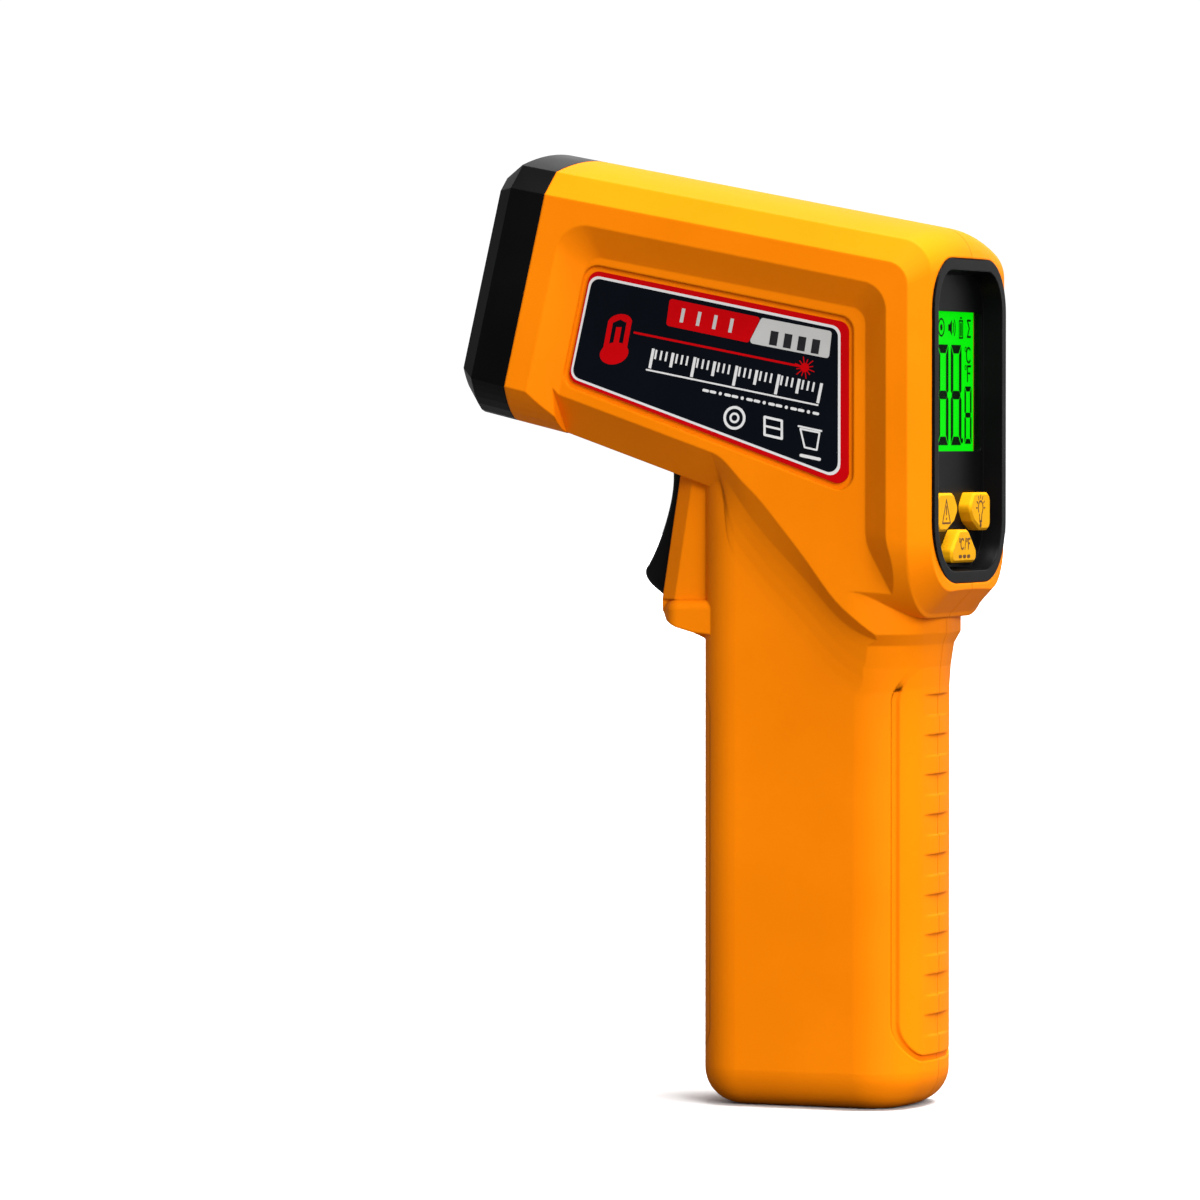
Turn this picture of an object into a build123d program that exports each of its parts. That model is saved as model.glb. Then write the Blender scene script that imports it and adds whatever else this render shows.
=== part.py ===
from build123d import *
import math
import os

# ---------------------------------------------------------------------------
# Pocket infrared thermometer, pistol form.  Millimetres.
# Frame: origin at the centre of the grip's base face, +Z up along the grip,
# the instrument aims along -X (tilted up by AIM_DEG), left side is -Y.
# ---------------------------------------------------------------------------
AIM_DEG = 13.0                 # optical axis above the horizontal
TA = math.tan(math.radians(AIM_DEG))
HW_RIM = 19.0                  # half width over the rims of the head
HW_CROWN = 16.3                # half width where the crowned top meets the chamfer
HW_PANEL = 16.0                # half width of the recessed side panels
HW_UNDER = 11.0                # half width of the flat under the barrel
TOP_Z0, TOP_S = 137.33, 0.193  # ridge line of the head: z = TOP_Z0 - TOP_S * x
BOT_Z0, BOT_S = 89.1, 0.349    # underside of the barrel: z = BOT_Z0 - BOT_S * x
RING_Z0, RING_S = 93.2, 0.24   # underside of the front ring
REAR_X = 23.6                  # rearmost point of the head at mid width
GRIP_X0, GRIP_X1 = -18.1, 18.6 # grip, front and rear at mid width
GRIP_HW = 13.0                 # half width of the grip
FRONT_A, REAR_A = 9.2, 10.1    # length of the grip's rounded front and rear ends
SUPER_N = 2.5
PANEL_CUT = 0.6                # depth of the label pocket
GAP = 0.06                     # half of the parting gap between the two shells


def zt(x):
    return TOP_Z0 - TOP_S * x


def zb(x):
    return BOT_Z0 - BOT_S * x


def lerp(a, b, t):
    return a + (b - a) * t


def cross_pt(a, b, c, d):
    """Intersection of line a-b with line c-d, in (x, z)."""
    r = (b[0] - a[0], b[1] - a[1])
    s = (d[0] - c[0], d[1] - c[1])
    den = r[0] * s[1] - r[1] * s[0]
    t = ((c[0] - a[0]) * s[1] - (c[1] - a[1]) * s[0]) / den
    return (a[0] + t * r[0], a[1] + t * r[1])


def corner(a, p, b, r):
    va = (a[0] - p[0], a[1] - p[1])
    vb = (b[0] - p[0], b[1] - p[1])
    la, lb = math.hypot(*va), math.hypot(*vb)
    va = (va[0] / la, va[1] / la)
    vb = (vb[0] / lb, vb[1] / lb)
    half = math.acos(max(-1, min(1, va[0] * vb[0] + va[1] * vb[1]))) / 2
    d = r / math.tan(half)
    bis = (va[0] + vb[0], va[1] + vb[1])
    lbis = math.hypot(*bis)
    c = (p[0] + bis[0] / lbis * r / math.sin(half), p[1] + bis[1] / lbis * r / math.sin(half))
    m = (p[0] - c[0], p[1] - c[1])
    lm = math.hypot(*m)
    return ((p[0] + va[0] * d, p[1] + va[1] * d),
            (c[0] + m[0] / lm * r, c[1] + m[1] / lm * r),
            (p[0] + vb[0] * d, p[1] + vb[1] * d))


def fpoly(pts, radii, place):
    """Closed wire through pts with rounded corners; place maps (u, v) to 3-D."""
    n = len(pts)
    ends = []
    for i in range(n):
        r = radii[i] if isinstance(radii, (list, tuple)) else radii
        if r <= 0:
            ends.append((pts[i], None, pts[i]))
        else:
            ends.append(corner(pts[i - 1], pts[i], pts[(i + 1) % n], r))
    edges = []
    for i in range(n):
        t1, mid, t2 = ends[i]
        if mid is not None:
            edges.append(ThreePointArc(place(*t1), place(*mid), place(*t2)))
        nxt = ends[(i + 1) % n][0]
        if math.hypot(nxt[0] - t2[0], nxt[1] - t2[1]) > 1e-6:
            edges.append(Line(place(*t2), place(*nxt)))
    return Wire(edges)


def at_y(y):
    return lambda u, v: (u, y, v)


def at_x(x):
    return lambda u, v: (x, u, v)


def at_z(z):
    return lambda u, v: (u, v, z)


def prism_y(pts, y0, y1, radii=0):
    return Solid.extrude(Face(fpoly(pts, radii, at_y(y0))), Vector(0, y1 - y0, 0))


def prism_x(pts, x0, x1, radii=0):
    return Solid.extrude(Face(fpoly(pts, radii, at_x(x0))), Vector(x1 - x0, 0, 0))


def prism_z(pts, z0, z1, radii=0):
    return Solid.extrude(Face(fpoly(pts, radii, at_z(z0))), Vector(0, 0, z1 - z0))


def box(x0, x1, y0, y1, z0, z1):
    return Solid.make_box(x1 - x0, y1 - y0, z1 - z0).moved(Location((x0, y0, z0)))


def solids_of(x):
    out = []
    for i in (x if isinstance(x, (list, ShapeList)) else [x]):
        out += list(i.solids())
    return out


def mirror_y(s):
    return s.mirror(Plane.XZ)


# ---- head block -----------------------------------------------------------
def under_drop(ay):
    return 0.0 if ay <= HW_UNDER else 1.2 * (ay - HW_UNDER)


def head_outline(y):
    """Side outline of the head at width y, with its corner radii."""
    ay = abs(y)
    if ay <= HW_CROWN:
        k = (ay / HW_CROWN) ** 2
        dt, dr = 2.3 * k, 0.7 * k
        rc = lerp(5.6, 5.2, k)
    else:
        k = (ay - HW_CROWN) / (HW_RIM - HW_CROWN)
        dt, dr = lerp(2.3, 6.0, k), lerp(0.7, 3.5, k)
        rc = lerp(5.2, 3.6, k)
    db = 0.0 if ay <= HW_UNDER else 5.3 * ((ay - HW_UNDER) / 8.0) ** 1.25
    top_a, top_b = (-62, zt(-62) - dt), (30, zt(30) - dt)
    rear_a, rear_b = (REAR_X - dr, 140), (REAR_X - dr, 60)
    p_tr = cross_pt(top_a, top_b, rear_a, rear_b)
    pts = [top_a, p_tr, (REAR_X - dr, 60), (-62, 60)]
    return pts, [0, rc, 0, 0]


def head_block():
    ys = [-16.3, -13.6, -11, -6, 0, 6, 11, 13.6, 16.3]
    core = Solid.make_loft([fpoly(*head_outline(y), at_y(y)) for y in ys], False)
    sides = [Solid.make_loft([fpoly(*head_outline(s * y), at_y(s * y)) for y in (HW_CROWN, HW_RIM)], True)
             for s in (-1, 1)]
    return core.fuse(*sides)


# ---- rear frame: rounded lower corners and sloping underside ----------------
def under_section(x, zbot, hw, ry, zc=86.1):
    """Outline of the space under the rear frame at one x."""
    b = [(hw, zc), (hw, lerp(zc, zbot, 0.5523)), (hw - ry * 0.4477, zbot), (hw - ry, zbot)]
    e = []
    q = at_x(x)
    e.append(Line(q(26, 55), q(26, zc)))
    e.append(Line(q(26, zc), q(hw, zc)))
    e.append(Bezier(*[q(*p) for p in b]))
    e.append(Line(q(hw - ry, zbot), q(-(hw - ry), zbot)))
    e.append(Bezier(*[q(-p[0], p[1]) for p in reversed(b)]))
    e.append(Line(q(-hw, zc), q(-26, zc)))
    e.append(Line(q(-26, zc), q(-26, 55)))
    e.append(Line(q(-26, 55), q(26, 55)))
    return Wire(e)


def rear_under_cutter():
    # (x, bottom, half width, corner length): rear face, chamfer, neck
    s = [under_section(25.9, 81.1, 13.4, 5.0), under_section(22.9, 78.1, 16.3, 8.0),
         under_section(20.1, 75.2, 19.0, 10.8), under_section(19.8, 74.4, 19.0, 10.8)]
    return Solid.make_loft(s, True)


# ---- side recess ------------------------------------------------------------
def recess_cutter(side):
    # outlines at the rim (19) and at the panel (16)
    def rim(o):
        top = lambda x: 127.7 - 0.2 * x + o * 1.02
        fx = lambda z: -38.8 + 0.232 * (z - 122.8) - o
        c1 = cross_pt((fx(90), 90), (fx(140), 140), (-50, top(-50)), (20, top(20)))
        c2 = (16.7 + o, top(16.7 + o))
        return [c1, c2, (16.7 + o, 86.0), (20.9 + o * 1.3, 75.2), (27.0 + o, 60), (fx(60), 60)], \
               [4.2 + o, 3.6 + o, 6, 0, 0, 0]

    def foot():
        top = lambda x: 123.3 - 0.19 * x
        fx = lambda z: -34.5 + 0.232 * (z - 122.8)
        c1 = cross_pt((fx(90), 90), (fx(140), 140), (-50, top(-50)), (20, top(20)))
        c2 = (12.3, top(12.3))
        return [c1, c2, (12.3, 86.0), (19.5, 73.0), (26.0, 60), (fx(60), 60)], [2.4, 2.6, 8, 0, 0, 0]
    w = [fpoly(*rim(1.43), at_y(side * 20.0)), fpoly(*rim(0.0), at_y(side * 19.0)), fpoly(*foot(), at_y(side * 16.0))]
    return Solid.make_loft([w[0], w[2]], True)


# ---- saddle under the panel, flaring into the grip ----------------------------
C_TOP = [(-11.2, 98.75), (-8.3, 95.8), (-5.2, 92.8), (-2.2, 89.3), (0.9, 85.6), (4.0, 81.6), (7.1, 77.6),
         (10.2, 74.8), (13.2, 73.1), (16.3, 72.3), (22.5, 72.0), (30, 72.0)]
C_LOW = [(-9.4, 93.2), (-6.5, 89.2), (-3.5, 85.8), (-0.3, 82.6), (2.8, 79.4), (5.9, 76.0), (8.9, 73.4),
         (12.0, 71.8), (14.8, 71.0), (22.5, 70.4), (30, 70.4)]


def saddle_level(side, w, curve, d):
    z0 = zb(-12.6) + 1.2 * (w - HW_UNDER) + 0.02
    low = [(x - 0.12 * d, z - 0.95 * d) for x, z in curve]
    pts = [(-12.6, z0)]
    if low[0][0] > -11:
        pts.append((lerp(-12.6, low[0][0], 0.45), lerp(z0, low[0][1], 0.40)))
    pts += low
    q = at_y(side * w)
    a, b = pts[0], pts[-1]
    return Wire([Spline(*[q(*p) for p in pts]), Line(q(*b), q(b[0], 40)), Line(q(b[0], 40), q(a[0], 40)),
                 Line(q(a[0], 40), q(*a))])


def saddle_cutters(side):
    up = [(x, z + 1.0) for x, z in C_TOP]
    a = Solid.make_loft([saddle_level(side, 16.6, up, 0), saddle_level(side, 16.0, C_TOP, 0),
                         saddle_level(side, 14.2, C_LOW, 0)], True)
    levels = []
    for w in (14.2, 13.75, 13.35, 13.08, 13.0):
        d = 9.0 * (1 - math.sqrt(max(0.0, (w - 13.0) / 1.2)))
        levels.append(saddle_level(side, w, C_LOW, d))
    b = Solid.make_loft(levels, True)
    return [a, b]


def under_cutters():
    """Below the barrel (bevelled towards the sides) and below the fuller front ring."""
    def bar(y, xe):
        off = 1.2 * max(0.0, abs(y) - HW_UNDER)
        return fpoly([(-38.6, zb(-38.6) + off), (xe, zb(xe) + off), (xe, 40), (-38.6, 40)], 0, at_y(y))

    def ring(y):
        off = 5.4 * (max(0.0, abs(y) - HW_UNDER) / 8.0) ** 1.6
        rz = lambda x: RING_Z0 - RING_S * x + off
        return fpoly([(-70, rz(-70)), (-38.6, rz(-38.6)), (-38.6, 40), (-70, 40)], 0, at_y(y))
    out = [Solid.make_loft([bar(-11, -6), bar(11, -6)], True), Solid.make_loft([ring(-11), ring(11)], True)]
    for s in (-1, 1):
        out.append(Solid.make_loft([bar(s * 11, -6), bar(s * 13, -6)], True))
        out.append(Solid.make_loft([bar(s * 13, -12.6), bar(s * 16.8, -12.6)], True))
        out.append(Solid.make_loft([ring(s * y) for y in (11, 12.5, 14.5, 16, 17.2, 18.2, 19.3)], True))
    return out


def plan_wire(z, x0, x1, hw, rf=7.2, rr=8.6, cf=1.9, cr=2.0):
    """Plan outline of the grip: flat sides, rounded corners, slightly crowned front and rear."""
    pts = [(x0, 0), (x0 + cf, -hw), (x1 - cr, -hw), (x1, 0), (x1 - cr, hw), (x0 + cf, hw)]
    return fpoly(pts, [24, rf, rr, 24, rr, rf], at_z(z))


def grip_prism(z0, z1, inset=0.0, x0=GRIP_X0, x1=GRIP_X1):
    w = plan_wire(z0, x0 + inset, x1 - inset, GRIP_HW - inset, 7.2 - inset, 8.6 - inset)
    return Solid.extrude(Face(w), Vector(0, 0, z1 - z0))


def rear_wrap_cutter():
    """Rounds the jaw in plan, then steps it down to the grip."""
    secs = [(87.0, 19.9, 16.0, 9.4), (72.1, 19.7, 16.0, 9.4), (70.4, 19.1, 14.2, 9.0),
            (67.0, 18.75, 13.4, 8.8), (62.0, 18.5, 12.9, 8.6)]
    low = prism_y([(9.4, 62.5), (9.4, 74.3), (30, 74.3), (30, 62.5)], -26, 26)
    under = Solid.make_loft([under_section(9.4, 74.5, 19.0, 10.8, 88.0), under_section(19.9, 74.5, 19.0, 10.8, 86.1)], True)
    high = prism_y([(9.4, 74.2), (9.4, 88.5), (19.85, 88.5), (19.85, 74.2)], -26, 26)
    high = one(solids_of(high.intersect(under)))
    out = []
    for blk in (low, high):
        pieces = [blk]
        for i in range(len(secs) - 1):
            w = [plan_wire(z, -20, x1, hw, 7.2, rr) for z, x1, hw, rr in secs[i:i + 2]]
            tool = Solid.make_loft(w, True)
            nxt = []
            for q in pieces:
                nxt += [k for k in solids_of(q.cut(tool)) if k.volume > 0.5]
            pieces = nxt
        out += pieces
    return out


def grip_solid():
    g = grip_prism(0, 97)
    return g.fillet(5.6, [e for e in g.edges() if e.center().Z < 0.01])


# ---------------------------------------------------------------------------
# small helpers for placed solids
# ---------------------------------------------------------------------------
def cyl(r, p, d, h):
    """Cylinder of radius r from point p along direction d for h."""
    return Solid.make_cylinder(r, h, Plane(origin=p, z_dir=d))


def cone(r0, r1, p, d, h):
    return Solid.make_cone(r0, r1, h, Plane(origin=p, z_dir=d))


def tube(ro, ri, p, d, h):
    e = Vector(*d).normalized() * 0.5
    return one(cyl(ro, p, d, h).cut(cyl(ri, tuple(Vector(*p) - e), d, h + 1.0)))


def one(x):
    s = solids_of(x)
    return s[0] if len(s) == 1 else max(s, key=lambda q: q.volume)


def cut_all(a, tools):
    for t in tools:
        a = one(a.cut(t))
    return a


def fuse_all(items):
    a = items[0]
    for t in items[1:]:
        a = one(a.fuse(t))
    return a


def rrect(y0, y1, z0, z1, r):
    return [(y0, z0), (y1, z0), (y1, z1), (y0, z1)], r


def wire_run(pts, r, bend=1.5):
    path = FilletPolyline(*pts, radius=bend) if len(pts) > 2 else Line(*pts)
    w = Wire(path.edges()) if not isinstance(path, Wire) else path
    a, b = Vector(*pts[0]), Vector(*pts[1])
    prof = Wire.make_circle(r, Plane(origin=pts[0], z_dir=(b - a).normalized()))
    return Solid.sweep(Face(prof), w)


# local frame of the nose: origin where the optical axis meets the front plane,
# +x rearwards along the axis, +z up
NOSE_P = (-51.96, 0.0, 119.5)
NOSE = Location(NOSE_P, (0, AIM_DEG, 0))
CAP_LEN = 8.4
LASER_Z = 15.4


def nose(s):
    return s.moved(NOSE)


# ---- trigger ---------------------------------------------------------------
PIVOT = (-15.5, 97.5)
TRIG_HW = 5.3
SLOT_HW = 5.7
TRIG_R = 22.3


def trigger_blade():
    q = at_y(-TRIG_HW)
    front = [(-23.6, 96.7), (-23.7, 93.7), (-24.3, 90.7), (-25.25, 87.6), (-26.5, 84.5), (-27.7, 82.2)]
    tip = [(-27.7, 82.2), (-28.2, 80.9), (-27.5, 79.5), (-26.0, 78.2), (-24.9, 77.28)]
    px, pz = PIVOT
    a0 = math.atan2(77.28 - pz, -24.9 - px)
    a1 = math.atan2(75.34 - pz, -13.0 - px)
    am = (a0 + a1) / 2
    r = math.hypot(-24.9 - px, 77.28 - pz)
    arc = [(-24.9, 77.28), (px + r * math.cos(am), pz + r * math.sin(am)), (px + r * math.cos(a1), pz + r * math.sin(a1))]
    e = [Spline(*[q(*p) for p in front]), Spline(*[q(*p) for p in tip]), ThreePointArc(*[q(*p) for p in arc]),
         Line(q(*arc[2]), q(-13.0, 95.0)), Line(q(-13.0, 95.0), q(-15.5, 100.9)), Line(q(-15.5, 100.9), q(-18.5, 100.3)),
         Line(q(-18.5, 100.3), q(*front[0]))]
    b = Solid.extrude(Face(Wire(e)), Vector(0, 2 * TRIG_HW, 0))
    return b


def build_trigger():
    b = trigger_blade()
    try:
        es = [e for e in b.edges() if abs(abs(e.center().Y) - TRIG_HW) < 1e-3 and e.center().X < -24.2]
        b = b.fillet(1.1, es)
    except Exception:
        pass
    hub = cyl(3.6, (PIVOT[0], -TRIG_HW, PIVOT[1]), (0, 1, 0), 2 * TRIG_HW)
    b = one(b.fuse(hub))
    b = one(b.cut(cyl(1.31, (PIVOT[0], -9, PIVOT[1]), (0, 1, 0), 18)))
    # lightening pocket from the rear
    b = one(b.cut(box(-21.5, -14.4, -TRIG_HW + 1.5, TRIG_HW - 1.5, 78.3, 84.2)))
    return b


# ---- outer body --------------------------------------------------------------
def outer_body():
    H = head_block()
    H = one(H.cut(rear_under_cutter()))
    for s in (-1, 1):
        H = one(H.cut(recess_cutter(s)))
    H = cut_all(H, under_cutters())
    for s in (-1, 1):
        H = cut_all(H, saddle_cutters(s))
    H = cut_all(H, rear_wrap_cutter())
    H = one(H.cut(box(-70, 40, -30, 30, 50, 63.0)))
    return H


def cheeks():
    """Trigger guard cheeks and the lug under the trigger."""
    core = prism_y([(-20.4, 99.5), (-23.95, 77.0), (-23.9, 75.2), (-22.9, 73.9), (-20.6, 72.6), (-17.2, 71.2), (-14.0, 69.0),
                    (-10.0, 69.0), (-10.0, 99.5)], -8.0, 8.0)
    parts = [core]
    for s in (-1, 1):
        a = fpoly([(-20.4, 99.5), (-23.95, 77.0), (-10.0, 77.0), (-10.0, 99.5)], 0, at_y(s * 8.0))
        b = fpoly([(-17.7, 99.5), (-21.35, 77.0), (-10.0, 77.0), (-10.0, 99.5)], 0, at_y(s * 9.5))
        parts.append(Solid.make_loft([a, b], True))
    lug = prism_z([(-23.95, -7.6), (-21.6, -11.0), (-12.0, -11.4), (-12.0, 11.4), (-21.6, 11.0), (-23.95, 7.6)], 68.0, 77.0,
                  [2.2, 2.6, 0, 0, 2.6, 2.2])
    under = prism_y([(-26, 75.6), (-23.95, 75.2), (-22.9, 73.9), (-20.6, 72.8), (-17.6, 72.0), (-11.0, 71.4), (-11.0, 60), (-26, 60)], -13, 13)
    lug = one(lug.cut(under))
    try:
        lug = lug.fillet(1.6, [e for e in lug.edges() if e.center().Z > 76.9 and e.center().X < -14])
    except Exception:
        pass
    return parts + [lug]


def grip_outer():
    return grip_solid()


def rear_groove():
    """V groove outlining the rear grip panel, following the grip surface."""
    outer = grip_prism(1, 75)
    inner = grip_prism(1, 75, 0.4)
    shell = one(outer.cut(inner))
    w = 0.9
    ring = prism_x([(-11.0, 7.2), (11.0, 7.2), (11.0, 67.7), (-11.0, 67.7)], 6, 22, 6.0)
    ring_in = prism_x([(-11.0 + w, 7.2 + w), (11.0 - w, 7.2 + w), (11.0 - w, 67.7 - w), (-11.0 + w, 67.7 - w)], 5, 23, 5.2)
    return one(ring.cut(ring_in)), shell


RIB_TOPS = [62.8, 56.7, 50.7, 44.6, 38.5, 32.4, 26.4, 20.3, 14.2]


def rib_cutters():
    out = []
    for z in RIB_TOPS:
        c = Solid.make_cylinder(52.0, 3.2, Plane(origin=(18.05 - 52.0, 0, z - 3.2), z_dir=(0, 0, 1)))
        blk = box(14, 24, -9.2, 9.2, z - 3.2, z)
        out.append(one(blk.cut(c)))
    return out


DOOR = dict(hw=10.9, z0=8.3, z1=63.1, r=3.4, t=1.9)


def door_outline(g):
    d = DOOR
    return [(-d["hw"] - g, d["z0"] - g), (d["hw"] + g, d["z0"] - g), (d["hw"] + g, d["z1"] + g), (-d["hw"] - g, d["z1"] + g)], d["r"] + g


def build_door():
    pts, r = door_outline(0.0)
    blank = prism_x(pts, -20, -13.3, r)
    skin = one(grip_prism(2, 75).cut(grip_prism(2, 75, DOOR["t"])))
    d = one(solids_of(blank.intersect(skin)))
    # hooks behind the lower edge and a latch tongue at the top
    hooks = []
    for s in (-1, 1):
        hooks.append(box(-16.2, -13.8, s * 5.0 - 1.6, s * 5.0 + 1.6, 8.8, 9.9))
        hooks.append(box(-14.95, -13.8, s * 5.0 - 1.6, s * 5.0 + 1.6, 6.2, 9.9))
    d = fuse_all([d] + hooks)
    d = one(d.fuse(box(-16.4, -15.3, -3.0, 3.0, 54.0, 62.6)))
    return d


DOOR_PIVOT = (-17.3, 8.7)

CAV_TOP = 3.9
SCREWS_HEAD = [(-20.0, 124.0), (2.0, 119.0), (-19.0, 107.6)]
SCREWS_GRIP = [(11.2, 69.0), (6.5, 37.5), (10.2, 8.0)]


def cavity():
    top = lambda x: zt(x) - CAV_TOP
    c1 = prism_y([(-60, top(-60)), (18.9, top(18.9)), (18.9, 90.5), (12.8, 87.5), (12.6, 77.6), (10.2, 77.6), (7.1, 80.4), (4.0, 84.4),
                  (0.9, 88.4), (-2.2, 92.1), (-5.2, 95.7), (-8.3, 98.8), (-12.6, 101.4), (-38.6, 109.4), (-60, 114.5)], -13.6, 13.6)
    c1b = prism_y([(8, 100), (18.9, 100), (18.9, 84.0), (15.1, 79.0), (14.9, 60), (8, 60)], -9.0, 9.0)
    c2 = prism_y([(-60, 109.8), (-38.6, 104.9), (-12, 95.6), (-12, 62), (8.5, 62), (8.5, 118), (-60, 118)], -10.0, 10.0)
    c3 = grip_prism(2.2, 92, 2.0)
    # the neck above the finger panel is rounder, so its corners stay solid
    for s in (-1, 1):
        c3 = one(c3.cut(box(9.0, 25, min(s * 7.6, s * 14), max(s * 7.6, s * 14), 55.0, 79.0)))
    return [c1, c1b, c2, c3]


def bezel_outline(g, hw=15.9, z0=79.8, z1=128.8):
    return [(-hw - g, z0 - g), (hw + g, z0 - g), (hw + g, z1 + g), (-hw - g, z1 + g)], [9.5 + g, 9.5 + g, 8 + g, 8 + g]


LABEL = [(-32.6, 127.4), (9.5, 119.0), (9.5, 94.2), (-36.4, 110.6)]


def offset_quad(pts, d):
    """Grow a convex quadrilateral by d."""
    n = len(pts)
    cx = sum(p[0] for p in pts) / n
    cz = sum(p[1] for p in pts) / n
    lines = []
    for i in range(n):
        a, b = pts[i], pts[(i + 1) % n]
        ex, ez = b[0] - a[0], b[1] - a[1]
        l = math.hypot(ex, ez)
        nx, nz = ez / l, -ex / l
        if (a[0] - cx) * nx + (a[1] - cz) * nz < 0:
            nx, nz = -nx, -nz
        lines.append(((a[0] + nx * d, a[1] + nz * d), (b[0] + nx * d, b[1] + nz * d)))
    return [cross_pt(*lines[i - 1], *lines[i]) for i in range(n)]


def cap_plane(s):
    """Half space box in front of the plane s behind the nose's front plane."""
    return nose(box(-60, s, -40, 40, -60, 80))


def build_shells(parts):
    H = outer_body()
    G = grip_outer()
    B = one(H.fuse(G))
    for c in cheeks():
        B = one(B.fuse(c))
    full = B
    # rear finger panel
    ring, shell = rear_groove()
    B = one(B.cut(one(solids_of(ring.intersect(shell)))))
    for c in rib_cutters():
        B = one(B.cut(c))
    # label pockets
    q = offset_quad(LABEL, 0.9)
    for s in (-1, 1):
        B = one(B.cut(prism_y(q, s * (HW_PANEL - PANEL_CUT), s * 22, 2.4)))
    # front of the shells
    B = one(B.cut(cap_plane(CAP_LEN)))
    # inside
    for c in cavity():
        B = one(B.cut(c))
    # display opening
    pts, r = bezel_outline(0.08)
    B = one(B.cut(prism_x(pts, 18.9, 27, r)))
    pts, r = bezel_outline(-1.9)
    B = one(B.cut(prism_x(pts, 11.2, 27, [7.6, 7.6, 6.1, 6.1])))
    # trigger slot
    px, pz = PIVOT
    sl = one(solids_of(cyl(TRIG_R + 0.45, (px, -SLOT_HW, pz), (0, 1, 0), 2 * SLOT_HW).intersect(
        prism_y([(-40, 70), (-9.6, 70), (-9.6, 99.5), (-24.6, 99.5), (-24.6, 97), (-40, 97)], -20, 20))))
    B = one(B.cut(sl))
    # battery opening
    pts, r = door_outline(0.16)
    B = one(B.cut(prism_x(pts, -22, -13.0, r)))
    dx, dz = DOOR_PIVOT
    B = one(B.cut(cyl(1.08, (dx, -6.2, dz), (0, 1, 0), 12.4)))
    # bosses and screw holes
    adds, cuts = [], []
    for i, (x, z) in enumerate(SCREWS_HEAD + SCREWS_GRIP):
        wall = 14.4 if i < 3 else 11.8
        adds.append(cyl(2.9, (x, -wall, z), (0, 1, 0), wall * 2))
        cuts.append(cyl(1.32, (x, -0.5, z), (0, 1, 0), 9))
        cuts.append(cyl(1.12, (x, -8.2, z), (0, 1, 0), 9))
        cuts.append(cyl(2.55, (x, 6.0, z), (0, 1, 0), 16))
    for s in (-1, 1):
        adds.append(cyl(3.1, (px, s * 5.75, pz), (0, s, 0), 8.5))
    for a in adds:
        B = one(B.fuse(one(solids_of(a.intersect(full)))))
    cuts.append(cyl(1.27, (px, -9.3, pz), (0, 1, 0), 18.6))
    for c in cuts:
        B = one(B.cut(c))
    left = one(B.cut(box(-70, 40, -GAP, 40, -5, 160)))
    right = one(B.cut(box(-70, 40, -40, GAP, -5, 160)))
    parts["shell_left"] = left
    parts["shell_right"] = right
    return full


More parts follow.
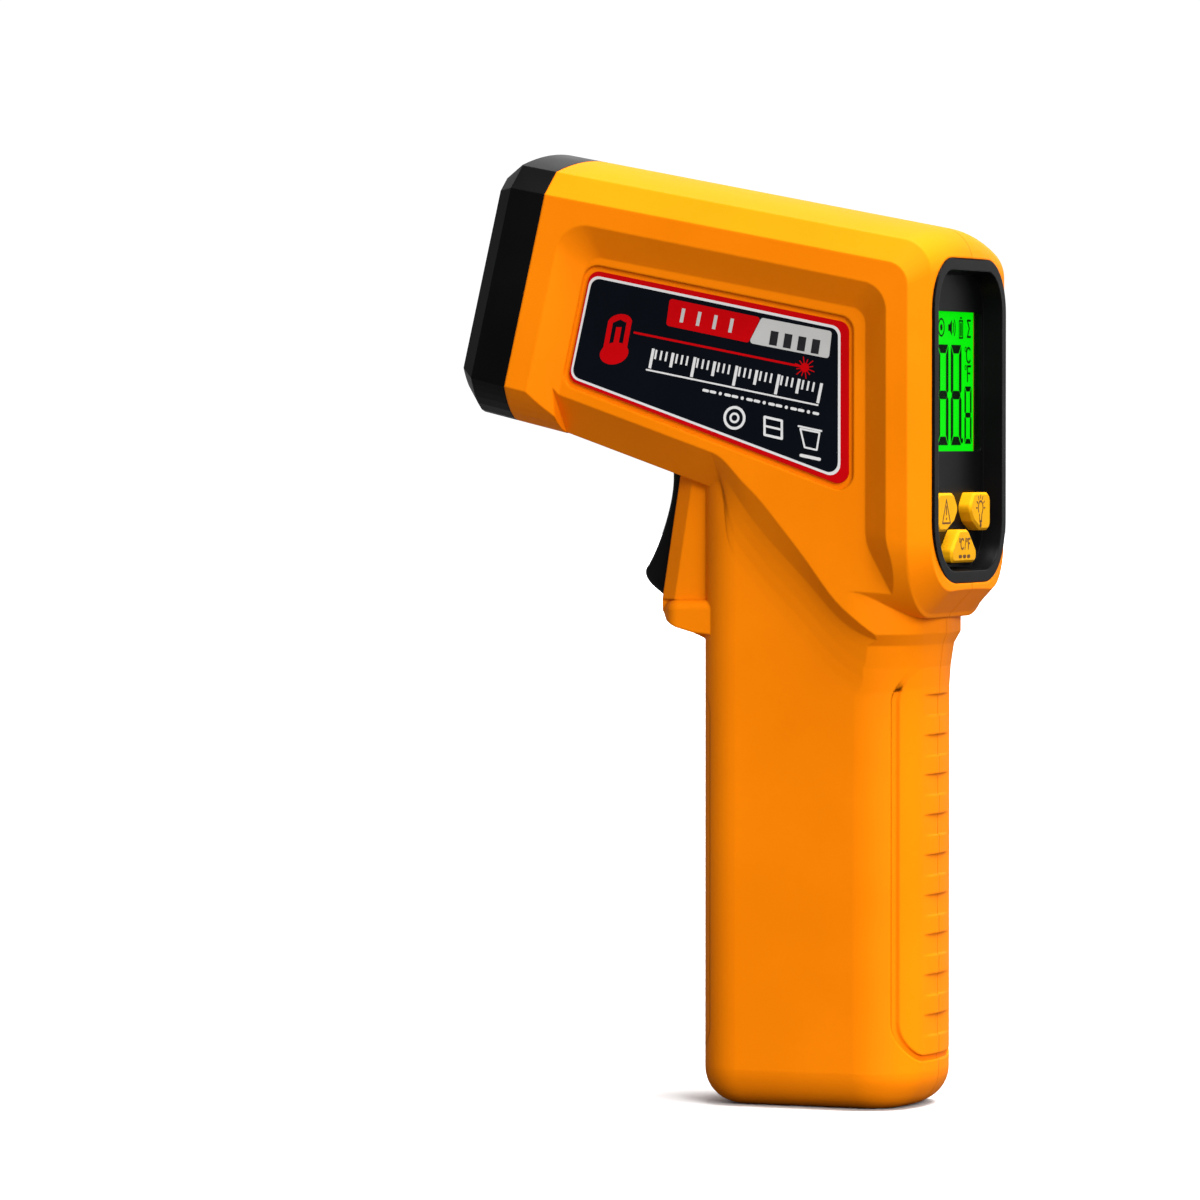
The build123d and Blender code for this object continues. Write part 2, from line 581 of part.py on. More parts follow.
def build_nose(parts, full):
    band = one(solids_of(full.intersect(nose(box(0.0, CAP_LEN - 0.04, -40, 40, -60, 80)))))
    ax = Vector(math.cos(math.radians(AIM_DEG)), 0, -math.sin(math.radians(AIM_DEG)))
    tip = Vector(*NOSE_P)
    front = [e for e in band.edges() if abs((e.center() - tip).dot(ax)) < 1e-3]
    cap = one(band.chamfer(2.5, 2.7, front))
    lip_o = [(-13.5, -6.2), (-9.8, -6.2), (-9.8, -10.6), (9.8, -10.6), (9.8, -6.2), (13.5, -6.2), (13.5, 23.4), (-13.5, 23.4)]
    lip_i = [(-12.2, -4.9), (-9.3, -5.2), (-9.3, -9.4), (9.3, -9.4), (9.3, -5.2), (12.2, -4.9), (12.2, 22.1), (-12.2, 22.1)]
    cap = one(cap.fuse(nose(prism_x(lip_o, 6.0, 11.0))))
    cap = one(cap.cut(nose(prism_x(lip_i, 2.4, 12.0))))
    cap = one(cap.cut(nose(cone(9.4, 7.4, (-0.01, 0, 0), (1, 0, 0), 1.7))))
    cap = one(cap.cut(nose(cyl(7.4, (-1, 0, 0), (1, 0, 0), 5))))
    cap = one(cap.cut(nose(cone(3.4, 2.5, (-0.01, 0, LASER_Z), (1, 0, 0), 0.9))))
    cap = one(cap.cut(nose(cyl(2.5, (-1, 0, LASER_Z), (1, 0, 0), 5))))
    parts["nose_cap"] = cap
    parts["ir_lens"] = nose(one(cyl(8.3, (2.45, 0, 0), (1, 0, 0), 0.9).fuse(
        one(solids_of(Solid.make_sphere(30.0).moved(Location((2.0 + 30.0, 0, 0))).intersect(cyl(7.2, (1.0, 0, 0), (1, 0, 0), 2.0)))))))
    parts["lens_retainer"] = nose(tube(9.0, 7.2, (3.4, 0, 0), (1, 0, 0), 1.6))
    t = cyl(8.8, (5.05, 0, 0), (1, 0, 0), 17.0)
    t = one(t.cut(cone(7.3, 4.8, (5.0, 0, 0), (1, 0, 0), 17.2)))
    t = one(t.fuse(box(20.4, 22.05, -8.2, 8.2, -8.2, 8.2)))
    t = one(t.cut(cyl(4.8, (20, 0, 0), (1, 0, 0), 3)))
    parts["optics_tube"] = nose(t)
    can = cyl(4.6, (22.1, 0, 0), (1, 0, 0), 4.2)
    can = one(can.fuse(cyl(5.1, (26.0, 0, 0), (1, 0, 0), 0.9)))
    can = one(can.cut(cyl(2.4, (21.9, 0, 0), (1, 0, 0), 0.7)))
    parts["sensor_can"] = nose(can)
    parts["sensor_window"] = nose(cyl(2.35, (22.15, 0, 0), (1, 0, 0), 0.4))
    parts["sensor_board"] = nose(box(27.0, 28.4, -8.0, 8.0, -8.0, 8.0))
    # laser
    lz = LASER_Z
    parts["laser_window"] = nose(cyl(3.1, (2.45, 0, lz), (1, 0, 0), 0.8))
    parts["laser_lens"] = nose(cyl(1.9, (4.1, 0, lz), (1, 0, 0), 1.2))
    body = one(cyl(3.2, (3.6, 0, lz), (1, 0, 0), 12.0).cut(cyl(1.95, (3.5, 0, lz), (1, 0, 0), 2.0)))
    body = one(body.cut(cyl(1.6, (3.5, 0, lz), (1, 0, 0), 8.0)))
    body = one(body.cut(cyl(2.85, (11.0, 0, lz), (1, 0, 0), 6.0)))
    parts["laser_body"] = nose(body)
    parts["laser_diode"] = nose(one(cyl(2.8, (11.1, 0, lz), (1, 0, 0), 1.2).fuse(cyl(1.5, (9.7, 0, lz), (1, 0, 0), 1.4))))
    parts["laser_board"] = nose(box(15.7, 16.9, -4.0, 4.0, lz - 4.5, lz + 4.5))
    hold = nose(box(5.2, 14.0, -6.0, 6.0, lz - 5.2, lz + 6.2))
    hold = one(hold.cut(nose(cyl(3.24, (3, 0, lz), (1, 0, 0), 14))))
    parts["laser_holder"] = hold


# ---- display end ------------------------------------------------------------
BTN = dict(flange_x=18.0, top_x=22.3, travel=0.6)


def btn_profiles():
    """Outlines (y, z) of the three keys."""
    lf = [(-11.65, 87.6), (-8.6, 87.6), (-5.4 + 0.2, 88.6), (-3.2, 91.1), (-3.2 - 0.9, 93.2), (-6.0, 93.4), (-11.65, 93.4)]
    lf = [(-11.7, 87.6), (-7.6, 87.6), (-4.3, 89.0), (-2.5, 91.0), (-4.6, 93.4), (-11.7, 93.4)]
    rt = [(-y, z) for y, z in reversed(lf)]
    md = [(-5.4, 82.8), (5.4, 82.8), (5.4, 84.7), (1.9, 87.8), (-1.9, 87.8), (-5.4, 84.7)]
    return {"laser": (lf, [1.3, 1.2, 1.2, 1.1, 1.2, 1.3], (-7.4, 90.5)), "light": (rt, [1.3, 1.2, 1.1, 1.2, 1.2, 1.3], (7.4, 90.5)),
            "mode": (md, [1.0, 1.0, 0.9, 1.0, 1.0, 0.9], (0.0, 84.9))}


def grow(pts, d):
    n = len(pts)
    area = sum(pts[i][0] * pts[(i + 1) % n][1] - pts[(i + 1) % n][0] * pts[i][1] for i in range(n))
    sg = 1 if area > 0 else -1
    lines = []
    for i in range(n):
        a, b = pts[i], pts[(i + 1) % n]
        ex, ez = b[0] - a[0], b[1] - a[1]
        l = math.hypot(ex, ez)
        nx, nz = sg * ez / l, -sg * ex / l
        lines.append(((a[0] + nx * d, a[1] + nz * d), (b[0] + nx * d, b[1] + nz * d)))
    return [cross_pt(*lines[i - 1], *lines[i]) for i in range(n)]


def build_display(parts):
    # bezel: tray with a lip that stands just inside the rear face
    pts, r = bezel_outline(0.0)
    bz = prism_x(pts, 18.95, 23.35, r)
    pi, ri = bezel_outline(-1.7)
    pf, rf = bezel_outline(-2.3)
    cavity_ = Solid.make_loft([fpoly(pi, ri, at_x(23.6)), fpoly(pf, rf, at_x(20.4))], True)
    bz = one(bz.cut(cavity_))
    win = [(-12.9, 99.7), (12.9, 99.7), (12.9, 120.9), (-12.9, 120.9)]
    bz = one(bz.cut(prism_x(win, 18, 24, 0.6)))
    bz = one(bz.cut(prism_x([(-13.7, 98.9), (13.7, 98.9), (13.7, 121.7), (-13.7, 121.7)], 18, 19.75, 0.6)))
    profs = btn_profiles()
    for k, (p, rr, c) in profs.items():
        bz = one(bz.cut(prism_x(grow(p, 0.14), 18, 24, [q + 0.1 for q in rr])))
    posts = [(-11.4, 96.2), (11.4, 96.2), (-11.0, 124.3), (11.0, 124.3)]
    for y, z in posts:
        bz = one(bz.fuse(cyl(1.9, (13.25, y, z), (1, 0, 0), 6.0)))
        bz = one(bz.cut(cyl(0.95, (13.0, y, z), (1, 0, 0), 5.0)))
    parts["display_bezel"] = bz
    parts["display_window"] = prism_x([(-13.6, 99.0), (13.6, 99.0), (13.6, 121.6), (-13.6, 121.6)], 19.0, 19.72, 0.55)
    parts["lcd_panel"] = one(box(17.2, 18.1, -13.3, 13.3, 98.4, 122.4).fuse(box(18.1, 18.92, -13.3, 13.3, 99.3, 121.5)))
    parts["backlight"] = box(13.9, 17.1, -12.6, 12.6, 101.4, 119.4)
    parts["zebra_strips"] = Compound(children=[box(13.25, 17.15, -12.4, 12.4, z, z + 1.7) for z in (98.9, 120.2)])
    names = {"laser": "button_laser", "light": "button_light", "mode": "button_mode"}
    for k, (p, rr, (cy, cz)) in profs.items():
        cap = prism_x(p, 18.0, 22.0, rr)
        top = Solid.make_loft([fpoly(p, rr, at_x(22.0)), fpoly(grow(p, -0.35), [max(q - 0.2, 0.4) for q in rr], at_x(22.35))], True)
        cap = one(cap.fuse(top))
        cap = one(cap.fuse(prism_x(grow(p, 0.8), 17.95, 18.85, [q + 0.5 for q in rr])))
        cap = one(cap.fuse(cyl(1.9, (15.85, cy, cz), (1, 0, 0), 2.3)))
        parts[names[k]] = cap
    pad = prism_x([(-13.4, 82.2), (13.4, 82.2), (13.4, 94.0), (-13.4, 94.0)], 16.45, 17.1, [7.0, 7.0, 1.0, 1.0])
    for k, (p, rr, (cy, cz)) in profs.items():
        pad = one(pad.cut(cyl(2.1, (15, cy, cz), (1, 0, 0), 4)))
    parts["return_pad"] = pad
    sw, pl = [], {}
    for k, (p, rr, (cy, cz)) in profs.items():
        b = box(13.25, 15.2, cy - 3.0, cy + 3.0, cz - 3.0, cz + 3.0)
        b = one(b.cut(cyl(1.8, (13.9, cy, cz), (1, 0, 0), 3)))
        sw.append(b)
        parts["plunger_" + k] = cyl(1.7, (14.65, cy, cz), (1, 0, 0), 1.18)
    parts["key_switches"] = Compound(children=sw)
    # main board behind the display
    bd = prism_x([(-12.9, 82.6), (12.9, 82.6), (12.9, 126.2), (-12.9, 126.2)], 11.6, 13.2, [6.5, 6.5, 3.0, 3.0])
    for y, z in posts:
        bd = one(bd.cut(cyl(1.0, (11, y, z), (1, 0, 0), 3)))
    parts["main_board"] = bd
    scr = []
    for y, z in posts:
        scr.append(one(cyl(1.7, (10.3, y, z), (1, 0, 0), 1.25).fuse(cyl(0.9, (11.5, y, z), (1, 0, 0), 5.5))))
    parts["board_screws"] = Compound(children=scr)
    parts["mcu_chip"] = box(10.2, 11.55, -5.0, 5.0, 108.0, 118.0)
    chips = [box(10.4, 11.55, 7.0, 11.0, 110.0, 115.0), box(10.5, 11.55, -11.5, -8.0, 108.0, 112.0), box(10.9, 11.55, -10.5, -8.5, 115, 119),
             box(10.9, 11.55, 3.0, 6.5, 101.0, 103.4), box(10.9, 11.55, -6.5, -4.0, 101.0, 102.6), box(10.9, 11.55, 8.4, 9.8, 102.0, 104.2)]
    parts["board_parts"] = Compound(children=chips)
    parts["buzzer"] = one(cyl(5.0, (7.2, 0, 93.2), (1, 0, 0), 4.35).cut(cyl(0.9, (7.0, 0, 93.2), (1, 0, 0), 1.5)))
    conns = [box(7.6, 11.55, -11.2, -5.4, 85.0, 88.0), box(7.6, 11.55, 5.4, 11.2, 85.0, 88.0), box(7.8, 11.55, -4.0, 4.0, 121.2, 124.0)]
    parts["board_connectors"] = Compound(children=conns)


def build_trigger_group(parts):
    px, pz = PIVOT
    parts["trigger"] = build_trigger()
    parts["trigger_pin"] = cyl(1.25, (px, -9.2, pz), (0, 1, 0), 18.4)
    brd = box(-4.0, -2.6, -9.4, 9.4, 78.0, 95.0)
    parts["trigger_board"] = brd
    sw = box(-9.9, -4.05, -3.1, 3.1, 82.6, 89.4)
    sw = one(sw.cut(cyl(1.35, (-10.5, 0, 86.0), (1, 0, 0), 4.2)))
    parts["trigger_switch"] = sw
    pl = cyl(1.25, (-12.1, 0, 86.0), (1, 0, 0), 3.8)
    try:
        pl = pl.fillet(0.9, [e for e in pl.edges() if e.center().X < -12.05])
    except Exception:
        pass
    parts["trigger_plunger"] = pl.moved(Location((-0.85, 0, 0)))
    # return spring between the trigger and the switch board
    hel = Wire(Edge.make_helix(1.35, 8.1, 1.9))
    hel = hel.moved(Location((-12.65, 0, 92.3), (0, 90, 0)))
    st = hel.edges()[0].position_at(0)
    td = hel.edges()[0].tangent_at(0)
    prof = Face(Wire.make_circle(0.26, Plane(origin=st, z_dir=td)))
    parts["trigger_spring"] = Solid.sweep(prof, hel, is_frenet=True)


def build_power(parts):
    x = -9.4
    ys = (-5.5, 5.5)
    for i, y in enumerate(ys):
        # first cell nub up, second nub down
        z0, z1 = (14.0, 57.4)
        c = cyl(5.2, (x, y, z0), (0, 0, 1), z1 - z0)
        try:
            c = c.fillet(0.6, [e for e in c.edges()if abs(e.center().Z - z0) < 0.01 or abs(e.center().Z - z1) < 0.01])
        except Exception:
            pass
        nub = cyl(1.9, (x, y, z1), (0, 0, 1), 1.1) if i == 0 else cyl(1.9, (x, y, z0 - 1.1), (0, 0, 1), 1.1)
        parts["cell_%d" % (i + 1)] = one(c.fuse(nub))
    tray = box(-3.9, -2.7, -10.8, 10.8, 10.9, 61.2)
    for z in (10.9, 60.0):
        tray = one(tray.fuse(prism_z([(-12.9, -8.6), (-3.0, -10.8), (-3.0, 10.8), (-12.9, 8.6)], z, z + 1.2)))
    for y in ys:
        tray = one(tray.cut(cyl(5.35, (x, y, 12.15), (0, 0, 1), 47.8)))
    parts["battery_tray"] = tray
    bot = fuse_all([box(-11.8, -7.0, -8.0, 8.0, 12.12, 12.45)])
    top = [box(-11.8, -7.0, -8.2, -2.6, 59.6, 59.95), box(-11.8, -7.0, 2.6, 8.2, 59.6, 59.95)]
    parts["contact_plates"] = Compound(children=[bot] + top)

    def spring(cx, cy, z0, h):
        e = Edge.make_helix(h / 2.5, h, 2.9)
        e = e.moved(Location((cx, cy, z0)))
        pr = Face(Wire.make_circle(0.22, Plane(origin=e.position_at(0), z_dir=e.tangent_at(0))))
        return Solid.sweep(pr, Wire(e), is_frenet=True)
    parts["contact_springs"] = Compound(children=[spring(x, -5.5, 12.72, 1.0), spring(x, 5.5, 57.68, 1.66)])


def build_labels(parts):
    for s, n in ((-1, "label_left"), (1, "label_right")):
        y0 = s * (HW_PANEL - PANEL_CUT + 0.02)
        lab = prism_y(LABEL, y0, y0 + s * 0.42, 1.7)
        parts[n] = lab


def build_screws(parts):
    out = []
    for i, (x, z) in enumerate(SCREWS_HEAD + SCREWS_GRIP):
        h = cyl(2.35, (x, 6.05, z), (0, 1, 0), 1.5)
        try:
            h = h.fillet(0.5, [e for e in h.edges() if e.center().Y > 7.5])
        except Exception:
            pass
        h = one(h.fuse(cyl(1.1, (x, -7.6, z), (0, 1, 0), 13.8)))
        h = one(h.cut(box(x - 1.5, x + 1.5, 6.95, 8, z - 0.28, z + 0.28)))
        h = one(h.cut(box(x - 0.28, x + 0.28, 6.95, 8, z - 1.5, z + 1.5)))
        out.append(h)
    parts["case_screws"] = Compound(children=out)


def build_leads(parts):
    batt = [wire_run([(-8.0, y, 61.6), (-8.0, y, 66.0), (4.6, y, 74.0), (4.6, y, 86.5), (7.5, y, 86.5)], 0.55, 2.0)
            for y in (-8.4, 8.4)]
    parts["battery_leads"] = Compound(children=batt)
    sen = [wire_run([(-23.6, y, 113.0), (-14.0, y, 113.4), (5.6, y, 113.4), (5.6, y, 122.0), (7.7, y, 122.0)], 0.4, 1.5)
           for y in (-2.4, -1.2, 0.0)]
    parts["sensor_leads"] = Compound(children=sen)
    las = [wire_run([(-31.5, y, 130.6), (-24.0, y, 131.2), (-2.0, y, 126.4), (5.4, y, 125.2), (5.4, y, 122.9), (7.7, y, 122.9)], 0.4, 0.9)
           for y in (1.8, 3.0)]
    parts["laser_leads"] = Compound(children=las)
    trg = [wire_run([(-2.5, y, 90.0), (1.5, y, 90.0), (1.5, y, 85.6), (7.5, y, 85.6)], 0.45, 1.2) for y in (-6.4, 6.4)]
    parts["trigger_leads"] = Compound(children=trg)


if __name__ == "__main__":
    import time
    T0 = time.time()
    parts = {}
    full = build_shells(parts)
    print("shells", round(time.time() - T0, 1))
    parts["battery_door"] = build_door()
    for f in (build_display, build_trigger_group, build_power, build_labels, build_screws, build_leads):
        f(parts)
    build_nose(parts, full)
    os.makedirs("parts", exist_ok=True)
    for n, s in parts.items():
        export_step(s, "parts/%s.step" % n)
        if not s.is_valid:
            print("INVALID", n)
    print(len(parts), "nodes", round(time.time() - T0, 1), "s")
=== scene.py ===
import math
import bpy
import bmesh
from mathutils import Vector, Matrix


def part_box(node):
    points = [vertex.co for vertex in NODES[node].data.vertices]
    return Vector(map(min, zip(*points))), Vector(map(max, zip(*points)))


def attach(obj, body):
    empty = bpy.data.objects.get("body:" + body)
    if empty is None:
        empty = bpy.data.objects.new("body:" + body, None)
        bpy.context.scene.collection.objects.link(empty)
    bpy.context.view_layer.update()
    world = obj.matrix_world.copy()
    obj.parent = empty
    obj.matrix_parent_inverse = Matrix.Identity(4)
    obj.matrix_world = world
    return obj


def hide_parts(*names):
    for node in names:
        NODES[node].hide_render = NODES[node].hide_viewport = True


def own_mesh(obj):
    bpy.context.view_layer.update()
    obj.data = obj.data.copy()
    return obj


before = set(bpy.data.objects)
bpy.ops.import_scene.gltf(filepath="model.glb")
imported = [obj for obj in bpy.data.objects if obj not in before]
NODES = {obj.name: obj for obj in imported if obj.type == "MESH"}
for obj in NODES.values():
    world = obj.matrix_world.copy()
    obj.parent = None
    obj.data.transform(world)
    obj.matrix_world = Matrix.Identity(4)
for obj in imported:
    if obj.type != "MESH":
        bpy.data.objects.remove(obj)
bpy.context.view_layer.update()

MM = 0.001
scene = bpy.context.scene


# ------------------------------------------------------------------ materials
def new_mat(name):
    m = bpy.data.materials.new(name)
    m.use_nodes = True
    nt = m.node_tree
    bsdf = next(n for n in nt.nodes if n.type == "BSDF_PRINCIPLED")
    return m, nt, bsdf


def surface(name, base, rough=0.45, metal=0.0, spec=0.5, grain=2600.0, bump=0.06, vary=0.05, cloud=60.0,
            round_mm=0.0, coat=0.0, rough_vary=0.10, second=None, emit=None, emit_strength=0.0, alpha=1.0, streak=None):
    """Moulded, painted or metal surface: cloudy colour, uneven roughness, a fine grain in the bump."""
    m, nt, b = new_mat(name)
    N, L = nt.nodes, nt.links
    tc = N.new("ShaderNodeTexCoord")
    mp = N.new("ShaderNodeMapping")
    if streak:
        mp.inputs["Scale"].default_value = streak
    L.new(tc.outputs["Object"], mp.inputs["Vector"])
    big = N.new("ShaderNodeTexNoise")
    big.inputs["Scale"].default_value = cloud
    big.inputs["Detail"].default_value = 5.0
    L.new(mp.outputs["Vector"], big.inputs["Vector"])
    ramp = N.new("ShaderNodeValToRGB")
    e = ramp.color_ramp.elements
    e[0].position, e[1].position = 0.3, 0.7
    lowc = [max(0.0, c * (1.0 - vary)) for c in base]
    highc = [min(1.0, c * (1.0 + vary)) for c in (second or base)]
    e[0].color, e[1].color = (*lowc, 1.0), (*highc, 1.0)
    L.new(big.outputs["Fac"], ramp.inputs["Fac"])
    L.new(ramp.outputs["Color"], b.inputs["Base Color"])
    fine = N.new("ShaderNodeTexNoise")
    fine.inputs["Scale"].default_value = grain
    fine.inputs["Detail"].default_value = 2.0
    L.new(mp.outputs["Vector"], fine.inputs["Vector"])
    mr = N.new("ShaderNodeMapRange")
    mr.inputs["From Min"].default_value = 0.3
    mr.inputs["From Max"].default_value = 0.7
    mr.inputs["To Min"].default_value = max(0.02, rough * (1 - rough_vary))
    mr.inputs["To Max"].default_value = min(1.0, rough * (1 + rough_vary))
    L.new(big.outputs["Fac"], mr.inputs["Value"])
    L.new(mr.outputs["Result"], b.inputs["Roughness"])
    bp = N.new("ShaderNodeBump")
    bp.inputs["Strength"].default_value = bump
    bp.inputs["Distance"].default_value = 0.0001
    L.new(fine.outputs["Fac"], bp.inputs["Height"])
    if round_mm > 0:
        bv = N.new("ShaderNodeBevel")
        bv.samples = 4
        bv.inputs["Radius"].default_value = round_mm * MM
        L.new(bv.outputs["Normal"], bp.inputs["Normal"])
    L.new(bp.outputs["Normal"], b.inputs["Normal"])
    b.inputs["Metallic"].default_value = metal
    b.inputs["Specular IOR Level"].default_value = spec
    b.inputs["Coat Weight"].default_value = coat
    b.inputs["Coat Roughness"].default_value = 0.12
    if emit is not None:
        b.inputs["Emission Color"].default_value = (*emit, 1.0)
        b.inputs["Emission Strength"].default_value = emit_strength
    if alpha < 1.0:
        b.inputs["Alpha"].default_value = alpha
    return m


M = {}
M["case"] = surface("case_orange_moulding", (0.84, 0.200, 0.0008), rough=0.52, spec=0.025, grain=3000, bump=0.10,
                    vary=0.03, cloud=45, round_mm=0.45, second=(0.86, 0.212, 0.0015))
M["black_gloss"] = surface("black_gloss_moulding", (0.0020, 0.0020, 0.0022), rough=0.36, spec=0.06, grain=2200, bump=0.05,
                           vary=0.25, cloud=90, round_mm=0.3)
M["black_bezel"] = surface("black_bezel_moulding", (0.0022, 0.0022, 0.0024), rough=0.34, spec=0.05, grain=2600, bump=0.07,
                           vary=0.25, cloud=90, round_mm=0.25)
M["black_rubber"] = surface("trigger_black_moulding", (0.0028, 0.0028, 0.0028), rough=0.42, spec=0.10, grain=2400, bump=0.12,
                            vary=0.2, cloud=120, round_mm=0.3)
M["key"] = surface("key_silicone", (0.62, 0.285, 0.0025), rough=0.5, spec=0.04, grain=2400, bump=0.10, vary=0.04, cloud=150,
                   round_mm=0.25, second=(0.65, 0.30, 0.003))
M["window"] = surface("clear_window", (0.02, 0.022, 0.021), rough=0.10, spec=0.05, grain=1500, bump=0.01, vary=0.05, cloud=40, alpha=0.06)
M["lcd"] = surface("lit_display_green", (0.0, 0.10, 0.0005), rough=0.5, spec=0.02, grain=4000, bump=0.02, vary=0.10, cloud=120,
                   emit=(0.0004, 0.92, 0.001), emit_strength=0.95)
M["lcd_ink"] = surface("display_segment_dark", (0.0, 0.006, 0.0), rough=0.5, spec=0.02, grain=4000, bump=0.02, vary=0.3, cloud=300)
M["label_red"] = surface("label_print_red", (0.50, 0.0005, 0.0025), rough=0.4, spec=0.05, grain=3500, bump=0.04, vary=0.06, cloud=120)
M["label_white"] = surface("label_print_white", (0.66, 0.66, 0.66), rough=0.4, spec=0.1, grain=3500, bump=0.04, vary=0.04, cloud=150)
M["label_dark"] = surface("label_film_navy", (0.0016, 0.0028, 0.0055), rough=0.36, spec=0.06, grain=3500, bump=0.05, vary=0.25, cloud=70)
M["label_grey"] = surface("label_print_grey", (0.48, 0.48, 0.47), rough=0.4, spec=0.1, grain=3500, bump=0.04, vary=0.04, cloud=150)
M["mark_brown"] = surface("key_mark_brown", (0.10, 0.035, 0.006), rough=0.5, spec=0.2, grain=3000, bump=0.05, vary=0.2, cloud=300)
M["mark_dark"] = surface("label_print_dark", (0.012, 0.012, 0.014), rough=0.5, spec=0.2, grain=3000, bump=0.05, vary=0.2, cloud=300)
M["steel"] = surface("nickel_steel", (0.55, 0.55, 0.56), rough=0.3, metal=1.0, grain=1600, bump=0.10, vary=0.08, cloud=300, streak=(1, 1, 0.2))
M["brass"] = surface("turned_brass", (0.72, 0.50, 0.18), rough=0.28, metal=1.0, grain=1600, bump=0.12, vary=0.08, cloud=300)
M["lens"] = surface("milky_lens", (0.42, 0.43, 0.42), rough=0.30, spec=0.5, grain=1800, bump=0.05, vary=0.10, cloud=140)
M["glass"] = surface("laser_glass", (0.10, 0.02, 0.02), rough=0.08, spec=0.6, grain=900, bump=0.02, vary=0.2, cloud=200)
M["pcb"] = surface("green_board", (0.006, 0.09, 0.03), rough=0.35, spec=0.5, grain=700, bump=0.12, vary=0.25, cloud=400)
M["chip"] = surface("black_epoxy", (0.012, 0.012, 0.013), rough=0.55, spec=0.4, grain=2600, bump=0.2, vary=0.2, cloud=300)
M["nylon"] = surface("ivory_nylon", (0.66, 0.62, 0.52), rough=0.5, spec=0.4, grain=2200, bump=0.1, vary=0.05, cloud=200)
M["grey_rubber"] = surface("grey_silicone", (0.11, 0.115, 0.12), rough=0.6, spec=0.3, grain=1800, bump=0.2, vary=0.1, cloud=150)
M["holder"] = surface("inner_holder", (0.02, 0.02, 0.022), rough=0.55, spec=0.35, grain=2200, bump=0.15, vary=0.2, cloud=120)
M["diffuser"] = surface("white_light_guide", (0.7, 0.74, 0.66), rough=0.5, spec=0.4, grain=2000, bump=0.05, vary=0.04, cloud=100)
M["wire"] = surface("red_insulation", (0.45, 0.01, 0.01), rough=0.4, spec=0.4, grain=1500, bump=0.08, vary=0.1, cloud=400)
M["wrap"] = surface("cell_sleeve", (0.03, 0.07, 0.22), rough=0.3, spec=0.5, grain=1800, bump=0.05, vary=0.15, cloud=90)
M["zebra"] = surface("striped_elastomer", (0.30, 0.05, 0.06), rough=0.6, spec=0.3, grain=2500, bump=0.15, vary=0.3, cloud=900)

USE = {
    "shell_left": "case", "shell_right": "case", "battery_door": "case", "nose_cap": "black_gloss",
    "display_bezel": "black_bezel", "trigger": "black_rubber", "display_window": "window", "lcd_panel": "lcd",
    "backlight": "diffuser", "zebra_strips": "zebra", "button_laser": "key", "button_light": "key", "button_mode": "key",
    "return_pad": "grey_rubber", "key_switches": "chip", "plunger_laser": "nylon", "plunger_light": "nylon",
    "plunger_mode": "nylon", "main_board": "pcb", "board_screws": "steel", "mcu_chip": "chip", "board_parts": "chip",
    "buzzer": "chip", "board_connectors": "nylon", "trigger_pin": "steel", "trigger_board": "pcb",
    "trigger_switch": "chip", "trigger_plunger": "nylon", "trigger_spring": "steel", "cell_1": "wrap", "cell_2": "wrap",
    "battery_tray": "holder", "contact_plates": "steel", "contact_springs": "steel", "label_left": "label_red",
    "label_right": "label_red", "case_screws": "steel", "battery_leads": "wire", "sensor_leads": "wire",
    "laser_leads": "wire", "trigger_leads": "wire", "ir_lens": "lens", "lens_retainer": "holder", "optics_tube": "holder",
    "sensor_can": "steel", "sensor_window": "glass", "sensor_board": "pcb", "laser_window": "glass", "laser_lens": "glass",
    "laser_body": "brass", "laser_diode": "steel", "laser_board": "pcb", "laser_holder": "holder",
}
for name, key in USE.items():
    o = NODES[name]
    o.data.materials.clear()
    o.data.materials.append(M[key])


# ------------------------------------------------------------------ flat printed shapes
def rounded(pts, r, n=6):
    out = []
    k = len(pts)
    for i in range(k):
        p, a, b = Vector(pts[i]), Vector(pts[i - 1]), Vector(pts[(i + 1) % k])
        da, db = (a - p).normalized(), (b - p).normalized()
        ang = da.angle(db)
        t = min(r / math.tan(ang / 2), 0.48 * min((a - p).length, (b - p).length))
        rr = t * math.tan(ang / 2)
        c = p + (da + db).normalized() * (rr / math.sin(ang / 2))
        s, e = p + da * t, p + db * t
        a0 = math.atan2(s.y - c.y, s.x - c.x)
        a1 = math.atan2(e.y - c.y, e.x - c.x)
        d = (a1 - a0 + math.pi) % (2 * math.pi) - math.pi
        for j in range(n + 1):
            q = a0 + d * j / n
            out.append((c.x + rr * math.cos(q), c.y + rr * math.sin(q)))
    return out


def ring(cx, cy, r, n=20, rx=None):
    return [(cx + (rx or r) * math.cos(2 * math.pi * i / n), cy + r * math.sin(2 * math.pi * i / n)) for i in range(n)]


def stroke(pts, w, closed=False):
    """A line of width w as overlapping quads with round joints."""
    out = []
    seq = list(pts) + ([pts[0]] if closed else [])
    for (x0, y0), (x1, y1) in zip(seq[:-1], seq[1:]):
        d = Vector((x1 - x0, y1 - y0))
        if d.length < 1e-6:
            continue
        n = Vector((-d.y, d.x)).normalized() * (w / 2)
        out.append([(x0 + n.x, y0 + n.y), (x0 - n.x, y0 - n.y), (x1 - n.x, y1 - n.y), (x1 + n.x, y1 + n.y)])
    for x, y in (seq[:-1] if closed else seq):
        out.append(ring(x, y, w / 2, 8))
    return out


